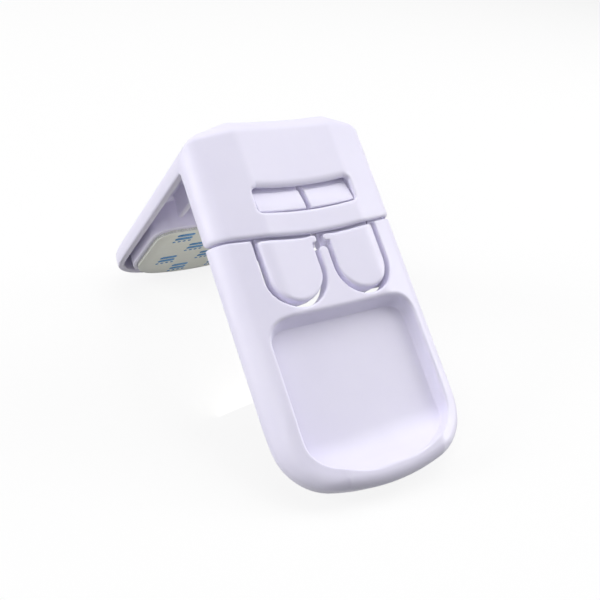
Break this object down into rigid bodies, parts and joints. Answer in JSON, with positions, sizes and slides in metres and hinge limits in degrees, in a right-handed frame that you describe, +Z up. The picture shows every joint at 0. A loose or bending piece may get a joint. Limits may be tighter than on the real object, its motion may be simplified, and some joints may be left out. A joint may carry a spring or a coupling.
{
  "type": "cabinet safety lock",
  "caption": "Right-angle snap lock for a cabinet door: a corner bracket with a window, and a flat body whose press levers hook into it; foam pads stick both to the furniture.",
  "frame": {"origin": "centre of the bounding box on the floor, with the lock stood up like a tent on its two round ends", "axes": "+Z up, -Y towards the front plates that show the window and the buttons, +X to the viewer's right; the lock is symmetric left to right"},
  "size_m": [0.0448, 0.102, 0.0557],
  "materials": {
    "shell": "satin",
    "lever": "satin",
    "foam": "matte",
    "liner": "matte"
  },
  "bodies": {
    "lock_body": {"body_shell": "shell", "body_foam_pad": "foam", "body_release_liner": "liner"},
    "bracket": {"corner_bracket": "shell", "bracket_foam_pad": "foam", "bracket_release_liner": "liner"},
    "left_press_lever": {"left_lever": "lever", "left_hook": "lever", "left_return_leaf": "lever"},
    "right_press_lever": {"right_lever": "lever", "right_hook": "lever", "right_return_leaf": "lever"}
  },
  "joints": [
    {"name": "bracket_pull", "type": "slide", "parent": "lock_body", "child": "bracket", "axis": [0, 0.7463, 0.6656], "range_m": [0, 0.014], "deforming": ["left_hook", "right_hook"]},
    {"name": "left_press", "type": "hinge", "parent": "lock_body", "child": "left_press_lever", "pos_m": [-0.0196, -0.01874, 0.02782], "axis": [-1, 0, 0], "range_deg": [0, 5.4], "stiffness_Nm_per_rad": 0.8, "springref_deg": -1.15, "deforming": ["left_return_leaf"]},
    {"name": "right_press", "type": "hinge", "parent": "lock_body", "child": "right_press_lever", "pos_m": [0.0196, -0.01874, 0.02782], "axis": [-1, 0, 0], "range_deg": [0, 5.4], "stiffness_Nm_per_rad": 0.8, "springref_deg": -1.15, "deforming": ["right_return_leaf"]}
  ]
}
